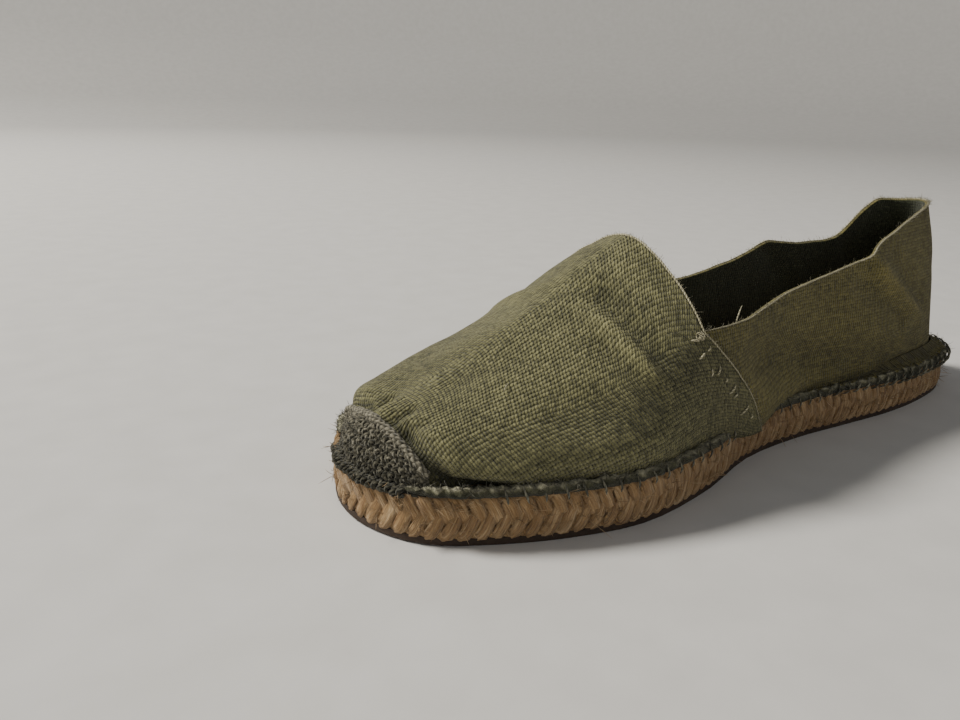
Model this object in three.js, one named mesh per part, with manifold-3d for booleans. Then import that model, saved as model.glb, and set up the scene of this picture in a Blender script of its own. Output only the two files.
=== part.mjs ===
// An espadrille: a coiled jute sole on a thin rubber sheet, with a hollow canvas upper sewn to it.
// Millimetres. +X points to the toe, +Y to the left side of the shoe, +Z up, with the sole on z = 0.

import * as THREE from 'three';
import { mergeVertices } from 'three/addons/utils/BufferGeometryUtils.js';
import Module from 'manifold-3d';

const wasm = await Module();
wasm.setup();

// Driving dimensions
const shoeLength = 271;
const outsoleThickness = 2;
const outsoleInset = 0.8;
const juteThickness = 11.7;
const juteEdgeRound = 1.6;
const toeSpring = 0.8;
const toeSpringStart = 100;
const clearance = 0.3;
const clothThickness = 1.5;
const lapThickness = 1.2;
const lapWidth = 12;
const hemHeight = 2.6;
const hemOverhang = 0.5;
const toeCapThickness = 1.5;
const ribCount = 96;
const ribSteps = 12;

const juteBottom = outsoleThickness + clearance;
const juteTop = juteBottom + juteThickness;
const footLine = juteTop + clearance;

// Half-widths of the sole beside its centre line, a row for each station from heel to toe.
const soleStations = [
  { x: -135.5, left: 0, right: 0 },
  { x: -120, left: 22.6, right: 24 },
  { x: -100, left: 28.2, right: 29.8 },
  { x: -75, left: 30.8, right: 32.4 },
  { x: -45, left: 30, right: 34.6 },
  { x: -20, left: 29, right: 36.4 },
  { x: 10, left: 31.8, right: 40 },
  { x: 40, left: 41.4, right: 43.8 },
  { x: 68, left: 45.4, right: 45.2 },
  { x: 90, left: 41.2, right: 43.1 },
  { x: 110, left: 33.7, right: 37.3 },
  { x: 125, left: 25, right: 27.6 },
  { x: 135.5, left: 0, right: 0 },
];

// The ribs of the upper, a row for each station of the sole. A rib stands footInset inside the sole's
// edge, leans out by bulge at the height rise, and comes in over crown to the ridge, from drop below
// it. Behind the throat the ridge is only the top of the form that the collar is cut from.
const ribStations = [
  { x: -135.5, footInset: 5.2, ridgeX: -96, ridgeZ: 94, crown: 22, drop: -1, bulge: -5, rise: 36 },
  { x: -120, footInset: 5.2, ridgeX: -92, ridgeZ: 93, crown: 19, drop: -1, bulge: -5, rise: 36 },
  { x: -97, footInset: 4.6, ridgeX: -85, ridgeZ: 90, crown: 15, drop: 0, bulge: -3, rise: 36 },
  { x: -60, footInset: 3.5, ridgeX: -60, ridgeZ: 84, crown: 21, drop: 0, bulge: 1, rise: 38 },
  { x: -30, footInset: 3, ridgeX: -30, ridgeZ: 82, crown: 25, drop: 0, bulge: 1, rise: 34 },
  { x: -5, footInset: 2.8, ridgeX: -5, ridgeZ: 80, crown: 29, drop: 0, bulge: 4, rise: 32 },
  { x: 20, footInset: 2.4, ridgeX: 22, ridgeZ: 75, crown: 28, drop: 4, bulge: 11, rise: 33 },
  { x: 46, footInset: 2.6, ridgeX: 46, ridgeZ: 68, crown: 18, drop: 6.5, bulge: 10, rise: 36 },
  { x: 75, footInset: 2.8, ridgeX: 73, ridgeZ: 51.8, crown: 19, drop: 7, bulge: 6, rise: 26 },
  { x: 102, footInset: 2.8, ridgeX: 92, ridgeZ: 42.3, crown: 20, drop: 7, bulge: 4, rise: 19 },
  { x: 123, footInset: 2.8, ridgeX: 101, ridgeZ: 37.2, crown: 18, drop: 7, bulge: 3, rise: 15 },
  { x: 135.5, footInset: 2.8, ridgeX: 105, ridgeZ: 35.6, crown: 20, drop: 7.5, bulge: 2, rise: 13 },
];

// Height of the collar edge on either side, a row for each turn in it from the throat to the heel.
const collarStations = [
  { leftX: 41.5, leftZ: 48, rightX: 41.5, rightZ: 47 },
  { leftX: 18, leftZ: 48.8, rightX: 20, rightZ: 44.6 },
  { leftX: -5, leftZ: 52.3, rightX: -2, rightZ: 43 },
  { leftX: -30, leftZ: 55.3, rightX: -20, rightZ: 44.4 },
  { leftX: -52, leftZ: 58.8, rightX: -42, rightZ: 50 },
  { leftX: -58, leftZ: 61.6, rightX: -59, rightZ: 56.8 },
  { leftX: -65, leftZ: 64.2, rightX: -74, rightZ: 55.2 },
  { leftX: -79, leftZ: 67.4, rightX: -88, rightZ: 55.6 },
  { leftX: -95, leftZ: 70.6, rightX: -96, rightZ: 57.5 },
  { leftX: -106, leftZ: 73, rightX: -101, rightZ: 67 },
  { leftX: -116, leftZ: 74.2, rightX: -107, rightZ: 73 },
  { leftX: -150, leftZ: 74.2, rightX: -150, rightZ: 74.2 },
];
const collarBlend = 6;
const cutterReach = 70;
const cutterTop = 130;

// The rear edge of the vamp, from the foot of the side seam up to the corner of the throat.
const seamFoot = { x: 8, z: 12.5 };
const seamCorner = { x: 40.9, z: 48 };

// The stitched toe lies in front of a slanting plane, given where it meets the foot and the toe's top.
const toeCapFoot = { x: 121.5, z: 14.3 };
const toeCapTop = { x: 129, z: 32.8 };

// A smooth curve through a table: cubic pieces, each row's slope the mean of those beside it.
function smoothThrough(xs, ys) {
  const last = xs.length - 2;
  const rise = (i) => (ys[i + 1] - ys[i]) / (xs[i + 1] - xs[i]);
  const slope = (i) => (rise(Math.max(i - 1, 0)) + rise(Math.min(i, last))) / 2;
  return (x) => {
    let i = 0;
    while (i < last && x > xs[i + 1]) i += 1;
    const width = xs[i + 1] - xs[i];
    const t = THREE.MathUtils.clamp((x - xs[i]) / width, 0, 1);
    const start = ys[i] * (1 + 2 * t) + slope(i) * width * t;
    const end = ys[i + 1] * (3 - 2 * t) - slope(i + 1) * width * (1 - t);
    return start * (1 - t) ** 2 + end * t ** 2;
  };
}

// Widths are squared before they are joined up, so that the toe and the heel close in round ends.
const soleXs = soleStations.map((row) => row.x);
const leftSquared = smoothThrough(soleXs, soleStations.map((row) => row.left ** 2));
const rightSquared = smoothThrough(soleXs, soleStations.map((row) => row.right ** 2));

function solePoint(index) {
  const angle = (index / ribCount) * 2 * Math.PI;
  const x = (shoeLength / 2) * Math.cos(angle);
  const onLeft = Math.sin(angle) >= 0;
  const halfWidth = Math.sqrt(Math.max(onLeft ? leftSquared(x) : rightSquared(x), 0));
  return new THREE.Vector2(x, onLeft ? halfWidth : -halfWidth);
}

const soleOutline = Array.from({ length: ribCount }, (_, index) => solePoint(index));

// The outline moved in by a distance at each station, or out where the distance is below zero.
function outlineInset(distanceAt) {
  return soleOutline.map((point, index) => {
    const next = soleOutline[(index + 1) % ribCount];
    const previous = soleOutline[(index + ribCount - 1) % ribCount];
    const along = next.clone().sub(previous).normalize();
    const inward = new THREE.Vector2(-along.y, along.x);
    return point.clone().addScaledVector(inward, distanceAt(point.x));
  });
}

function springAt(x) {
  const reach = (x - toeSpringStart) / (shoeLength / 2 - toeSpringStart);
  return toeSpring * Math.max(reach, 0) ** 2;
}

const seenFromAbove = (point) => new THREE.Vector2(point.x, point.y);
const seenFromLeft = (point) => new THREE.Vector2(-point.x, point.z);

// Joins rings of equal count into one closed body. The rings turn anticlockwise where they are seen
// from the last one, and flatten gives the view in which the end faces are filled. A form whose last
// ring folds flat on itself, as on a ridge, needs no face there.
function closedLoft(rings, flatten, lastRingOpen = true) {
  const count = rings[0].length;
  const faces = [];
  for (let r = 0; r + 1 < rings.length; r += 1) {
    for (let i = 0; i < count; i += 1) {
      const a = r * count + i;
      const b = r * count + ((i + 1) % count);
      faces.push(a, b, b + count, a, b + count, a + count);
    }
  }
  const endFaces = (ring) => THREE.ShapeUtils.triangulateShape(ring.map(flatten), []);
  const top = (rings.length - 1) * count;
  endFaces(rings[0]).forEach(([a, b, c]) => faces.push(a, c, b));
  if (lastRingOpen) {
    endFaces(rings.at(-1)).forEach(([a, b, c]) => faces.push(top + a, top + b, top + c));
  }
  const geometry = new THREE.BufferGeometry();
  geometry.setFromPoints(rings.flat());
  geometry.setIndex(faces);
  return geometry;
}

function toSolid(geometry) {
  const bare = geometry.clone();
  bare.deleteAttribute('normal');
  bare.deleteAttribute('uv');
  const merged = mergeVertices(bare, 1e-4);
  return new wasm.Manifold(new wasm.Mesh({
    numProp: 3,
    vertProperties: new Float32Array(merged.attributes.position.array),
    triVerts: new Uint32Array(merged.index.array),
  }));
}

function toGeometry(solid) {
  const { vertProperties, triVerts } = solid.getMesh();
  const geometry = new THREE.BufferGeometry();
  geometry.setAttribute('position', new THREE.BufferAttribute(vertProperties, 3));
  geometry.setIndex(new THREE.BufferAttribute(triVerts, 1));
  geometry.computeVertexNormals();
  return geometry;
}

// A slab with the sole's outline, a row for each level of its edge.
function soleSlab(levels) {
  return closedLoft(
    levels.map(({ inset, z }) => outlineInset(() => inset)
      .map((point) => new THREE.Vector3(point.x, point.y, z + springAt(point.x)))),
    seenFromAbove,
  );
}

const outsoleGeometry = soleSlab([
  { inset: outsoleInset, z: 0 },
  { inset: outsoleInset, z: outsoleThickness },
]);

const juteGeometry = soleSlab([
  { inset: juteEdgeRound, z: juteBottom },
  { inset: juteEdgeRound / 4, z: juteBottom + juteThickness / 5 },
  { inset: 0, z: juteBottom + juteThickness / 2 },
  { inset: juteEdgeRound / 4, z: juteTop - juteThickness / 5 },
  { inset: juteEdgeRound, z: juteTop },
]);

const ribXs = ribStations.map((row) => row.x);
const ribColumns = {};
for (const key of ['footInset', 'ridgeX', 'ridgeZ', 'crown', 'drop', 'bulge', 'rise']) {
  ribColumns[key] = smoothThrough(ribXs, ribStations.map((row) => row[key]));
}

// One rib of the upper at a station x, from its point on the foot line to the ridge. Inset is how far
// its face lies inside the vamp's outer face.
function upperRib(x, foot, inset) {
  const ridgeX = ribColumns.ridgeX(x);
  const ridge = new THREE.Vector3(ridgeX, 0, ribColumns.ridgeZ(x) - inset + springAt(ridgeX));
  const base = new THREE.Vector3(foot.x, foot.y, footLine + springAt(foot.x));
  const outward = new THREE.Vector3(base.x - ridge.x, base.y, 0).normalize();
  const belly = base.clone().addScaledVector(outward, ribColumns.bulge(x));
  belly.z += ribColumns.rise(x);
  const shoulder = ridge.clone().addScaledVector(outward, ribColumns.crown(x));
  shoulder.z -= ribColumns.drop(x);
  return new THREE.CubicBezierCurve3(base, belly, shoulder, ridge);
}

// The closed form over the last at an inset, carried down below the foot line by skirt.
function upperForm(inset, skirt) {
  const feet = outlineInset((x) => ribColumns.footInset(x) + inset);
  const ribs = feet.map((foot, index) => upperRib(soleOutline[index].x, foot, inset));
  const rings = Array.from({ length: ribSteps + 1 }, (_, step) => (
    ribs.map((rib) => rib.getPoint(step / ribSteps))
  ));
  const hem = rings[0].map((point) => point.clone().setZ(point.z - skirt));
  return toSolid(closedLoft(skirt > 0 ? [hem, ...rings] : rings, seenFromAbove, false));
}

// Everything in front of a line from low to high, seen from the side, across the whole shoe.
function frontOf(low, high) {
  const slope = (high.x - low.x) / (high.z - low.z);
  const shape = new THREE.Shape([
    new THREE.Vector2(low.x - slope * low.z, 0),
    new THREE.Vector2(shoeLength, 0),
    new THREE.Vector2(shoeLength, cutterTop),
    new THREE.Vector2(high.x, cutterTop),
    new THREE.Vector2(high.x, high.z),
  ]);
  const geometry = new THREE.ExtrudeGeometry(shape, { depth: 2 * cutterReach, bevelEnabled: false });
  geometry.rotateX(Math.PI / 2).translate(0, cutterReach, 0);
  return toSolid(geometry);
}

// The space over the collar: a column of air over each side's edge, joined across the heel.
function collarCutter() {
  const side = (y, xKey, zKey) => {
    const edge = collarStations.map((row) => new THREE.Vector3(row[xKey], y, row[zKey]));
    const above = edge.map((point) => new THREE.Vector3(point.x, y, cutterTop)).reverse();
    return [...edge, ...above];
  };
  return toSolid(closedLoft([
    side(-cutterReach, 'rightX', 'rightZ'),
    side(-collarBlend, 'rightX', 'rightZ'),
    side(collarBlend, 'leftX', 'leftZ'),
    side(cutterReach, 'leftX', 'leftZ'),
  ], seenFromLeft));
}

const cutterSkirt = juteThickness / 2;
const quarterInset = lapThickness;
const inFrontOfSeam = frontOf(seamFoot, seamCorner);
const inFrontOfLap = frontOf(
  { x: seamFoot.x + lapWidth, z: seamFoot.z },
  { x: seamCorner.x + lapWidth, z: seamCorner.z },
);
const inFrontOfToeSeam = frontOf(toeCapFoot, toeCapTop);

// The vamp's shell lies over the quarter's shell from the seam line forward over the lap.
function upperSolid() {
  const vamp = upperForm(0, 0).intersect(inFrontOfSeam);
  const insideVamp = upperForm(clothThickness, cutterSkirt).intersect(inFrontOfLap);
  const quarter = upperForm(quarterInset, 0);
  const insideQuarter = upperForm(quarterInset + clothThickness, cutterSkirt);
  const inside = insideVamp.add(insideQuarter);
  return vamp.add(quarter).subtract(inside).subtract(collarCutter());
}

function toeCapSolid() {
  const outer = upperForm(-clearance - toeCapThickness, 0);
  const inner = upperForm(-clearance, cutterSkirt);
  return outer.subtract(inner).intersect(inFrontOfToeSeam);
}

// The turned edge of the canvas: a ring on the jute's edge, cleared round the upper and the toe cap.
function sewnHemSolid() {
  const ring = toSolid(soleSlab([
    { inset: hemOverhang, z: footLine },
    { inset: -hemOverhang, z: footLine + hemHeight / 2 },
    { inset: hemOverhang, z: footLine + hemHeight },
  ]));
  const vampSpace = upperForm(-clearance, cutterSkirt).intersect(frontOf(
    { x: seamFoot.x - clearance, z: seamFoot.z },
    { x: seamCorner.x - clearance, z: seamCorner.z },
  ));
  const quarterSpace = upperForm(quarterInset - clearance, cutterSkirt);
  const toeCapSpace = upperForm(-2 * clearance - toeCapThickness, cutterSkirt).intersect(frontOf(
    { x: toeCapFoot.x - 2 * clearance, z: toeCapFoot.z },
    { x: toeCapTop.x - 2 * clearance, z: toeCapTop.z },
  ));
  return ring.subtract(vampSpace).subtract(quarterSpace).subtract(toeCapSpace);
}

const rubber = new THREE.MeshStandardMaterial({ color: 0x2b211b, roughness: 0.85, metalness: 0 });
const jute = new THREE.MeshStandardMaterial({ color: 0xa88252, roughness: 0.95, metalness: 0 });
const canvas = new THREE.MeshStandardMaterial({ color: 0x55553a, roughness: 0.95, metalness: 0 });
const thread = new THREE.MeshStandardMaterial({ color: 0x5a5f47, roughness: 0.95, metalness: 0 });

function subPart(name, geometry, material) {
  const mesh = new THREE.Mesh(geometry, material);
  mesh.name = name;
  return mesh;
}

const espadrille = new THREE.Group();
espadrille.add(
  subPart('rubber_outsole', outsoleGeometry, rubber),
  subPart('jute_sole', juteGeometry, jute),
  subPart('upper', toGeometry(upperSolid()), canvas),
  subPart('toe_cap', toGeometry(toeCapSolid()), thread),
  subPart('sewn_hem', toGeometry(sewnHemSolid()), canvas),
);

// The origin is under the middle of the whole shoe.
const middle = new THREE.Box3().setFromObject(espadrille).getCenter(new THREE.Vector3());
espadrille.position.set(-middle.x, -middle.y, 0);

export default espadrille;
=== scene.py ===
"""Looks for the espadrille: canvas upper, stitched toe, frayed hem and plaited jute sole.
Sizes are millimetres in the shoe's own frame (+X toe, +Y left, +Z up) and become metres in each mesh."""

import math

import bpy
import numpy as np
from mathutils import Matrix, Vector


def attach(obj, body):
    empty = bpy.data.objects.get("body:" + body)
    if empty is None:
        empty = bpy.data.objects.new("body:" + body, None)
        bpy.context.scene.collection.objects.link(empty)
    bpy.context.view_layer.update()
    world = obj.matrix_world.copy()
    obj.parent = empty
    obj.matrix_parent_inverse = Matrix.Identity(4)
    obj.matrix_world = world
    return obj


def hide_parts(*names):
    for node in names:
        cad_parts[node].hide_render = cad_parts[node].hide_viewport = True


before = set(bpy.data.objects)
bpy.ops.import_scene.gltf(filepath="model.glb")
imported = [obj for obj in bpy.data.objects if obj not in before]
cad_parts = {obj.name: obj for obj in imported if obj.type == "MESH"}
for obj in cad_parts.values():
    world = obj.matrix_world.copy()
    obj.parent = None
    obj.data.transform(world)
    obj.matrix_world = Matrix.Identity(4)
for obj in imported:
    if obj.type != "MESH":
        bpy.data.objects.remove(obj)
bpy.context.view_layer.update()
rng = np.random.default_rng(7)

MM = 0.001
PI = math.pi

# ---- the last, as in the CAD part

SHOE_LENGTH = 271.0
JUTE_BOTTOM, JUTE_TOP, FOOT_LINE = 2.3, 14.0, 14.3
TOE_SPRING, TOE_SPRING_START = 0.8, 100.0
QUARTER_INSET = 1.2
CLOTH = 1.2

# x, half-width to the left, half-width to the right
SOLE = np.array([
    (-135.5, 0, 0), (-120, 22.6, 24), (-100, 28.2, 29.8), (-75, 30.8, 32.4), (-45, 30, 34.6),
    (-20, 29, 36.4), (10, 31.8, 40), (40, 41.4, 43.8), (68, 45.4, 45.2), (90, 41.2, 43.1),
    (110, 33.7, 37.3), (125, 25, 27.6), (135.5, 0, 0),
])

# x, foot inset, ridge x, ridge z, crown, drop, bulge, rise
RIBS = np.array([
    (-135.5, 5.2, -96, 94, 22, -1, -5, 36), (-120, 5.2, -92, 93, 19, -1, -5, 36),
    (-97, 4.6, -85, 90, 15, 0, -3, 36), (-60, 3.5, -60, 84, 21, 0, 1, 38),
    (-30, 3, -30, 82, 25, 0, 1, 34), (-5, 2.8, -5, 80, 29, 0, 4, 32),
    (20, 2.4, 22, 75, 28, 4, 11, 33), (46, 2.6, 46, 68, 18, 6.5, 10, 36),
    (75, 2.8, 73, 51.8, 19, 7, 6, 26), (102, 2.8, 92, 42.3, 20, 7, 4, 19),
    (123, 2.8, 101, 37.2, 18, 7, 3, 15), (135.5, 2.8, 105, 35.6, 20, 7.5, 2, 13),
])

# collar heights: x and z on the left, x and z on the right, from the throat to the heel
COLLAR = np.array([
    (45, 48, 45, 47), (18, 48.8, 20, 44.6), (-5, 52.3, -2, 43), (-30, 55.3, -20, 44.4),
    (-52, 58.8, -42, 50), (-58, 61.6, -59, 56.8), (-65, 64.2, -74, 55.2), (-79, 67.4, -88, 55.6),
    (-95, 70.6, -96, 57.5), (-106, 73, -101, 67), (-116, 74.2, -107, 73), (-150, 74.2, -150, 74.2),
])[::-1]
SEAM_FOOT_X, SEAM_FOOT_Z = 7.5, 12.5
SEAM_CORNER_X, SEAM_CORNER_Z = 41.3, 48.0
THROAT_APEX_X, THROAT_APEX_Z = 40.5, 68.0
TOE_RIM_FOOT_X, TOE_RIM_LEAN = 121.6, 0.41


def unit(vectors, tiny=0.0):
    return vectors / (np.linalg.norm(vectors, axis=-1, keepdims=True) + tiny)


def soften(values, kernel):
    """Values along an edge, smoothed with a kernel of odd length."""
    return np.convolve(np.pad(values, len(kernel) // 2, mode="edge"), kernel, "valid")


def run_along(path):
    """The distance walked along a path, up to each of its points."""
    return np.append(0, np.cumsum(np.linalg.norm(np.diff(path, axis=0), axis=1)))


def toe_rim_x(z):
    """The stitched toe's slanting edge, seen from the side."""
    return TOE_RIM_FOOT_X + (z - FOOT_LINE) * TOE_RIM_LEAN


def smooth_through(xs, ys):
    """A cubic through a table, each slope the mean of those beside it."""
    rise = np.diff(ys) / np.diff(xs)
    slope = (np.append(rise[0], rise) + np.append(rise, rise[-1])) / 2

    def curve(x):
        i = np.clip(np.searchsorted(xs, x) - 1, 0, len(xs) - 2)
        width = xs[i + 1] - xs[i]
        t = np.clip((x - xs[i]) / width, 0, 1)
        start = ys[i] * (1 + 2 * t) + slope[i] * width * t
        end = ys[i + 1] * (3 - 2 * t) - slope[i + 1] * width * (1 - t)
        return start * (1 - t) ** 2 + end * t ** 2

    return curve


left_squared = smooth_through(SOLE[:, 0], SOLE[:, 1] ** 2)
right_squared = smooth_through(SOLE[:, 0], SOLE[:, 2] ** 2)
foot_inset, ridge_x, ridge_z, crown, drop, bulge, rise = (
    smooth_through(RIBS[:, 0], RIBS[:, k]) for k in range(1, 8))


def spring(x):
    return TOE_SPRING * np.maximum((x - TOE_SPRING_START) / (SHOE_LENGTH / 2 - TOE_SPRING_START), 0) ** 2


def outline(angle):
    x = SHOE_LENGTH / 2 * np.cos(angle)
    on_left = np.sin(angle) >= 0
    y = np.where(on_left, np.sqrt(np.maximum(left_squared(x), 0)),
                 -np.sqrt(np.maximum(right_squared(x), 0)))
    return x, y


def edge(angle, inset):
    """A point of the sole's outline moved in by inset, and the outward direction there."""
    step = 2 * PI / 96
    x, y = outline(angle)
    x1, y1 = outline(angle + step)
    x0, y0 = outline(angle - step)
    ax, ay = x1 - x0, y1 - y0
    length = np.hypot(ax, ay)
    ax, ay = ax / length, ay / length
    return x - ay * inset, y + ax * inset, ay, -ax


def form(angle, v, inset=0.0):
    """The upper's face: v = 0 on the foot line, v = 1 on the ridge."""
    angle, v = np.broadcast_arrays(np.asarray(angle, float), np.asarray(v, float))
    xs = SHOE_LENGTH / 2 * np.cos(angle)
    fx, fy, _, _ = edge(angle, foot_inset(xs) + inset)
    rx = ridge_x(xs)
    ridge = np.stack([rx, 0 * rx, ridge_z(xs) - inset + spring(rx)], -1)
    base = np.stack([fx, fy, FOOT_LINE + spring(fx)], -1)
    out = unit((base - ridge) * [1, 1, 0])
    belly = base + out * bulge(xs)[..., None]
    belly[..., 2] += rise(xs)
    shoulder = ridge + out * crown(xs)[..., None]
    shoulder[..., 2] -= drop(xs)
    w = v[..., None]
    return (base * (1 - w) ** 3 + 3 * belly * w * (1 - w) ** 2
            + 3 * shoulder * w * w * (1 - w) + ridge * w ** 3)


# ---- folds placed one by one

# each fold: points (x, y, z), width, height along the normal (below zero for a trough), and rub and painted
# shade: above zero its ridge is rubbed pale, below zero its trough is darkened with painted shade
FOLDS = [
    # two soft troughs and the pale ridge between, down the near side of the vamp
    ([(60, 4, 58), (59.5, 11.6, 56.2), (59.7, 20.3, 52.6), (59, 27.8, 49.2), (57.6, 35.8, 43.6), (55, 40, 36)],
     3.8, -2.3, -0.45),
    ([(64.5, 12, 53), (64.5, 21.9, 49.3), (63.8, 29.7, 45.6), (61.6, 37.5, 40.2), (56, 42, 33.6)],
     2.9, 1.8, 0.55),
    ([(69, 20, 47), (68.6, 26.6, 44.8), (67, 32, 42.5), (65, 36.5, 39.8), (62, 41, 34)], 3.2, -1.5, -0.35),
    # a softer pair on the far side
    ([(58, -8, 56), (59, -22, 52), (58, -34, 44), (54, -40, 34)], 4, -0.8, -0.25),
    ([(66, -14, 51), (66, -28, 46), (63, -38, 38)], 4, 0.9, 0.3),
    # the canvas is drawn in behind the stitched toe, deeper low down on the near side
    ([(125.2, 6, 29), (124.6, 11, 27.6), (123.6, 16.5, 24.8), (121.8, 22, 21), (118.6, 26.5, 16.5),
      (111, 30.5, 15.2), (102, 34, 15)], 2.5, -3.8, -1.3),
    ([(124.8, -9, 27.8), (123.6, -17, 25.1), (121.4, -23.5, 21), (117.5, -29, 15.5)], 2.5, -2.6, -0.9),
    ([(120.5, 12, 30), (118.5, 20, 26), (114.5, 27, 21), (107, 33, 18.5), (98, 37, 18)], 4, 1.9, 0.25),
    ([(120.5, -13, 30), (119, -22, 25), (115, -29, 19), (110, -33, 16)], 4.2, 1.2, 0.2),
    ([(126, -6.5, 28), (122.5, -7.5, 29.6), (117.5, -9, 31.5)], 2.3, -2.1, -0.7),
    ([(125.4, -0.5, 28.2), (121.5, -0.5, 29.8), (116, -1, 32)], 2.2, 0.9, 0.25),
    ([(126, 4.5, 27.8), (122.6, 6, 28.8), (117.5, 8, 31)], 2.1, -1.9, -0.65),
    ([(125.8, 11, 26.6), (122, 13.5, 27.2), (116.5, 17, 28)], 2, -1.5, -0.5),
    # long slack waves low on the near side of the vamp, and over the instep
    ([(104, 32, 21), (88, 39.5, 22), (70, 44, 21), (50, 43.5, 20)], 6, 1.3, 0.15),
    ([(94, 31, 30), (80, 37, 33), (66, 41.5, 34), (52, 42.5, 34), (42, 41, 33)], 8.5, -1.9, -0.25),
    ([(112, 5, 34), (96, 9, 39), (82, 14, 42)], 4.5, -0.5, -0.1),
    ([(108, -14, 32), (92, -22, 35), (78, -28, 38)], 5.5, -0.8, -0.1),
    ([(100, -33, 22), (82, -40, 23), (62, -43, 23)], 5, 0.7, 0.1),
    ([(48, 4, 65), (50, 18, 60), (50, 31, 52)], 4, 0.6, 0.15),
    # the quarter: a pale fold from the collar's peak down toward the heel
    ([(-50, 22, 63), (-52.3, 21.9, 61.1), (-59.3, 23.3, 55.2), (-70.1, 23.8, 47.5), (-84.7, 22.6, 38.9),
      (-103.4, 19.9, 28.7)], 3.6, 2, 0.6),
    ([(-44, 23, 56), (-54, 24, 48), (-68, 24.5, 40), (-84, 24, 32)], 5, -1.2, -0.2),
    ([(-66, 21, 62), (-78, 20, 52), (-92, 19, 42), (-106, 17, 33)], 5, -1.5, -0.2),
    # the waist swells over the sole, with a hollow above it
    ([(28, 38, 33), (21.1, 36, 29), (8, 31, 24), (-8, 27, 20), (-24, 26, 17)], 6, 2.4, 0.35),
    ([(32, 38, 42), (18, 34, 37), (2, 29.5, 32), (-30, 26, 26.5), (-54, 26.5, 22), (-81, 26.5, 19),
      (-100, 24, 18)], 6, -2, -0.3),
    ([(24, -40, 33), (0, -36, 27), (-24, -34, 22)], 6.5, 1.8, 0.2),
    ([(20, -38, 40), (-10, -34, 33), (-50, -31, 26), (-90, -28, 22)], 7, -1.6, -0.2),
    ([(-58, -27, 57), (-66, -28, 46), (-78, -28, 36)], 5, 1.6, 0.3),
    ([(-97, -17, 58), (-104, -17, 46), (-110, -17, 34)], 4.5, 1.5, 0.3),
    ([(-20, -34, 42), (-34, -33, 38), (-52, -31, 34)], 6, -1, -0.1),
    # the heel is hollow between the collar and the hem
    ([(-126, 0, 44), (-124, 10, 42), (-118, 17, 40)], 13, -1, 0),
    ([(-126, 0, 44), (-124, -10, 42), (-118, -17, 40)], 13, -0.8, 0),
    ([(-121, 3, 60), (-122, 4, 50), (-124, 3, 38)], 2.6, 1, 0.4),
]


def distance_to_line(points, line):
    """Distance from each point to a polyline, and how far along it (0 to 1) the nearest place is."""
    line = np.asarray(line, float)
    lengths = np.linalg.norm(np.diff(line, axis=0), axis=1)
    total, start = lengths.sum(), 0.0
    best = np.full(len(points), 1e9)
    where = np.zeros(len(points))
    for a, b, length in zip(line[:-1], line[1:], lengths):
        t = np.clip((points - a) @ (b - a) / length ** 2, 0, 1)
        d = np.linalg.norm(points - (a + t[:, None] * (b - a)), axis=1)
        nearer = d < best
        best[nearer] = d[nearer]
        where[nearer] = (start + t[nearer] * length) / total
        start += length
    return best, where


def value_noise(points, scale, seed):
    """Smooth seeded noise in -1..1 over a 3-D lattice of spacing scale."""
    lattice = np.random.default_rng(seed).uniform(-1, 1, (17, 17, 17))
    p = points / scale
    cell = np.floor(p).astype(int)
    f = p - cell
    f = f * f * (3 - 2 * f)
    total = np.zeros(len(points))
    for corner in range(8):
        bits = np.array([corner & 1, corner >> 1 & 1, corner >> 2 & 1])
        index = (cell + bits) % 17
        weight = np.prod(np.where(bits, f, 1 - f), axis=1)
        total += lattice[tuple(index.T)] * weight
    return total


TOE_DENT = [(129, -21, 19), (126.5, -15, 26), (120, -8, 32)]
DENT_DEPTH, DENT_WIDTH = 2.5, 9.5
DENT_DIRECTION = np.array([-0.55, 0.25, -0.80])


def toe_dent(points):
    """The top of the toe is pressed down and back, more on the far side."""
    d, _ = distance_to_line(points.reshape(-1, 3), TOE_DENT)
    amount = DENT_DEPTH * np.exp(-((d / DENT_WIDTH) ** 2))
    return (amount[:, None] * DENT_DIRECTION).reshape(points.shape)


# size, spacing and seed of the slack in the cloth, and of its uneven wear
SLACK = ((0.42, 17.0, 3), (0.22, 7.0, 4))
WORN = (0.09, 23.0, 5)
FOLD_END = 0.22  # the share of a fold over which it dies away
DRAWN_IN, DRAWN_OVER = 1.5, 0.7  # how far the cloth goes in under the stitched toe, and over what length
FLARE_X, FLARE_LENGTH = 10, 17
FLARE_Z, FLARE_HEIGHT = 15, 12
FLARE_LEFT, FLARE_RIGHT, FLARE_DOWN = 5.6, 3.6, 3.0


def folded(points, normals):
    """The cloth with its folds, and its rub and painted shade: above zero where it is rubbed pale, below zero
    where creases are darkened with painted shade.
    """
    height = sum(size * value_noise(points, spacing, seed) for size, spacing, seed in SLACK)
    wear = WORN[0] * value_noise(points, *WORN[1:])
    for line, width, size, rub_and_shade in FOLDS:
        d, where = distance_to_line(points, line)
        fade = np.clip(np.minimum(where, 1 - where) / FOLD_END, 0, 1) ** 0.7 * 0.8 + 0.2
        bump = np.exp(-((d / width) ** 2)) * fade
        height += size * bump
        # a fold's ridge is rubbed pale; its trough is darkened with painted shade
        wear += rub_and_shade * bump
    height -= DRAWN_IN / (1 + np.exp(-(points[:, 0] - toe_rim_x(points[:, 2])) / DRAWN_OVER))
    # the seam's foot flares out over the waist of the sole on either side
    flare = (np.exp(-(((points[:, 0] - FLARE_X) / FLARE_LENGTH) ** 2))
             * np.exp(-(((points[:, 2] - FLARE_Z) / FLARE_HEIGHT) ** 2)))
    side = np.sign(points[:, 1])
    moved = points + normals * height[:, None]
    moved[:, 1] += side * flare * np.where(side > 0, FLARE_LEFT, FLARE_RIGHT)
    moved[:, 2] -= flare * FLARE_DOWN
    moved += toe_dent(points)
    return moved, wear


# ---- meshes from arrays

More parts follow.
